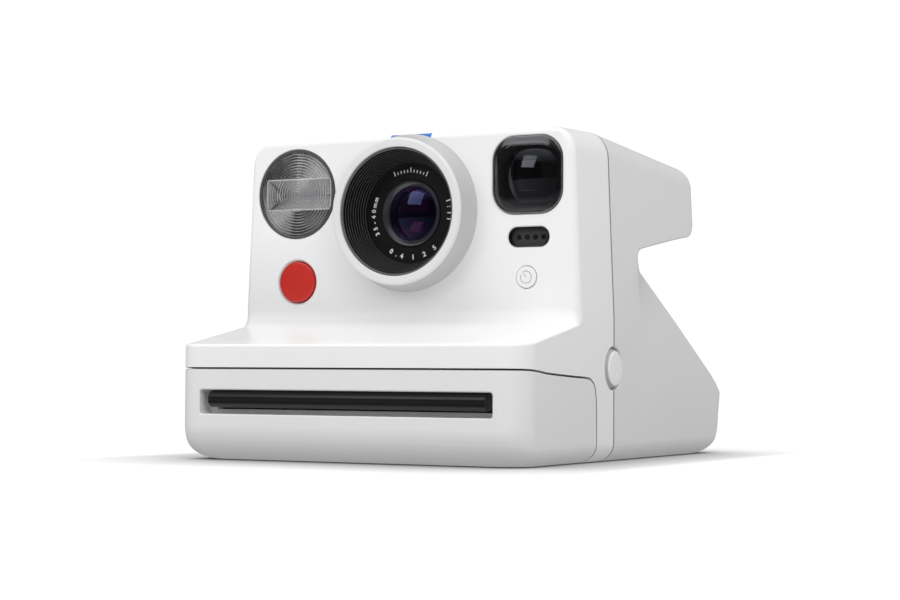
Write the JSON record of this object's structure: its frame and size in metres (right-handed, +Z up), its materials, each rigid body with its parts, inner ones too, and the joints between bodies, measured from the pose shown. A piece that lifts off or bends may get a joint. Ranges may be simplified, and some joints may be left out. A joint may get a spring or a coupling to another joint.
{
  "type": "instant camera",
  "caption": "Boxy white instant camera with front film door, central lens tube, flash, viewfinder, red shutter button and wedge-shaped film bay.",
  "frame": {"origin": "middle of the base: X = 0 mid-width, Y = 0 mid-depth, Z = 0 the flat underside", "axes": "+Z up, -Y the way the lens looks, +X to the right of a viewer facing the lens"},
  "size_m": [0.1127, 0.15, 0.0957],
  "materials": {
    "white_plastic": "satin",
    "black_plastic": "satin",
    "gloss_black_plastic": "gloss",
    "red_plastic": "gloss",
    "accent_blue": "satin",
    "coated_glass": "gloss",
    "clear_plastic": "clear gloss",
    "silvered_reflector": "polished",
    "steel": "satin",
    "brass": "satin",
    "green_board": "satin",
    "capacitor_sleeve": "satin",
    "mirror_glass": "polished"
  },
  "bodies": {
    "body": {"accent_strip": "accent_blue", "base_screw_1": "steel", "base_screw_2": "steel", "base_screw_3": "steel", "base_screw_4": "steel", "battery": "capacitor_sleeve", "charging_port": "steel", "counter_window": "gloss_black_plastic", "drive_motor": "steel", "eyepiece_bezel": "black_plastic", "eyepiece_lens": "coated_glass", "film_chamber": "black_plastic", "flash_board": "green_board", "flash_capacitor": "capacitor_sleeve", "flash_lens": "clear_plastic", "flash_reflector": "silvered_reflector", "flash_tube": "clear_plastic", "front_cover": "white_plastic", "front_lens": "coated_glass", "hinge_pin_left": "steel", "hinge_pin_right": "steel", "lens_baffle": "black_plastic", "lens_bezel": "gloss_black_plastic", "lens_disc_pivot": "steel", "lens_ring": "white_plastic", "main_board": "green_board", "mirror": "mirror_glass", "rear_cover": "white_plastic", "rear_lens": "coated_glass", "reduction_gear_shaft": "steel", "sensor_board": "green_board", "sensor_window": "gloss_black_plastic", "shutter_plate": "black_plastic", "strap_bar_left": "steel", "strap_bar_right": "steel", "viewfinder_front_lens": "coated_glass", "viewfinder_tunnel": "black_plastic", "viewfinder_window": "clear_plastic"},
    "film_door": {"film_door": "white_plastic", "roller_bracket_left": "steel", "roller_bracket_right": "steel"},
    "film_shield": {"film_shield": "gloss_black_plastic"},
    "upper_roller": {"upper_roller": "steel", "upper_roller_gear": "brass"},
    "lower_roller": {"lower_roller": "steel", "lower_roller_gear": "brass"},
    "latch_button": {"latch_button": "white_plastic"},
    "latch_lever": {"latch_lever": "steel"},
    "shutter_button": {"shutter_button": "red_plastic"},
    "self_timer_button": {"self_timer_button": "white_plastic"},
    "power_button": {"power_button": "white_plastic"},
    "flash_button": {"flash_button": "white_plastic"},
    "lens_disc": {"lens_disc": "black_plastic", "portrait_lens": "coated_glass", "landscape_lens": "coated_glass"},
    "shutter_blade_left": {"shutter_blade_left": "steel"},
    "shutter_blade_right": {"shutter_blade_right": "steel"},
    "motor_pinion": {"motor_pinion": "brass"},
    "reduction_gear": {"reduction_gear": "brass"},
    "pick_arm": {"pick_arm": "steel"}
  },
  "joints": [
    {"name": "film_door_hinge", "type": "hinge", "parent": "body", "child": "film_door", "pos_m": [0, -0.033, 0.0036], "axis": [1, 0, 0], "range_deg": [0, 80]},
    {"name": "film_shield_roll", "type": "hinge", "parent": "film_door", "child": "film_shield", "pos_m": [0, -0.072, 0.01755], "axis": [-1, 0, 0], "range_deg": [0, 180]},
    {"name": "upper_roller_spin", "type": "hinge", "parent": "film_door", "child": "upper_roller", "pos_m": [0, -0.0618, 0.0196], "axis": [1, 0, 0], "continuous": true},
    {"name": "lower_roller_spin", "type": "hinge", "parent": "film_door", "child": "lower_roller", "pos_m": [0, -0.0618, 0.0114], "axis": [1, 0, 0], "continuous": true},
    {"name": "latch_button_press", "type": "slide", "parent": "body", "child": "latch_button", "axis": [-1, 0, 0], "range_m": [0, 0.0018]},
    {"name": "latch_lever_swing", "type": "hinge", "parent": "body", "child": "latch_lever", "pos_m": [0.04935, -0.02, 0.0152], "axis": [-1, 0, 0], "range_deg": [0, 10.1]},
    {"name": "shutter_button_press", "type": "slide", "parent": "body", "child": "shutter_button", "axis": [0, 1, 0], "range_m": [0, 0.0012]},
    {"name": "self_timer_button_press", "type": "slide", "parent": "body", "child": "self_timer_button", "axis": [0, 1, 0], "range_m": [0, 0.0005]},
    {"name": "power_button_press", "type": "slide", "parent": "body", "child": "power_button", "axis": [0, -0.4922, -0.8705], "range_m": [0, 0.0005]},
    {"name": "flash_button_press", "type": "slide", "parent": "body", "child": "flash_button", "axis": [0, -1, 0], "range_m": [0, 0.0005]},
    {"name": "lens_disc_turn", "type": "hinge", "parent": "body", "child": "lens_disc", "pos_m": [0, -0.0307, 0.0591], "axis": [0, -1, 0], "range_deg": [0, 90]},
    {"name": "shutter_blade_left_swing", "type": "hinge", "parent": "body", "child": "shutter_blade_left", "pos_m": [-0.013, -0.02365, 0.0596], "axis": [0, -1, 0], "range_deg": [0, 35]},
    {"name": "shutter_blade_right_swing", "type": "hinge", "parent": "body", "child": "shutter_blade_right", "pos_m": [0.013, -0.02295, 0.0596], "axis": [0, -1, 0], "range_deg": [-35, 0]},
    {"name": "reduction_gear_spin", "type": "hinge", "parent": "body", "child": "reduction_gear", "pos_m": [-0.0454, -0.02639, 0.04147], "axis": [1, 0, 0], "continuous": true},
    {"name": "motor_pinion_spin", "type": "hinge", "parent": "body", "child": "motor_pinion", "pos_m": [-0.0454, -0.0285, 0.0336], "axis": [1, 0, 0], "continuous": true},
    {"name": "pick_arm_stroke", "type": "slide", "parent": "body", "child": "pick_arm", "axis": [0, -1, 0], "range_m": [0, 0.006]}
  ],
  "couplings": [
    {"joint": "lower_roller_spin", "follows": "upper_roller_spin", "ratio": -1},
    {"joint": "latch_lever_swing", "follows": "latch_button_press", "rad_per_m": 96.9},
    {"joint": "shutter_blade_right_swing", "follows": "shutter_blade_left_swing", "ratio": -1},
    {"joint": "motor_pinion_spin", "follows": "reduction_gear_spin", "ratio": -2.2}
  ]
}
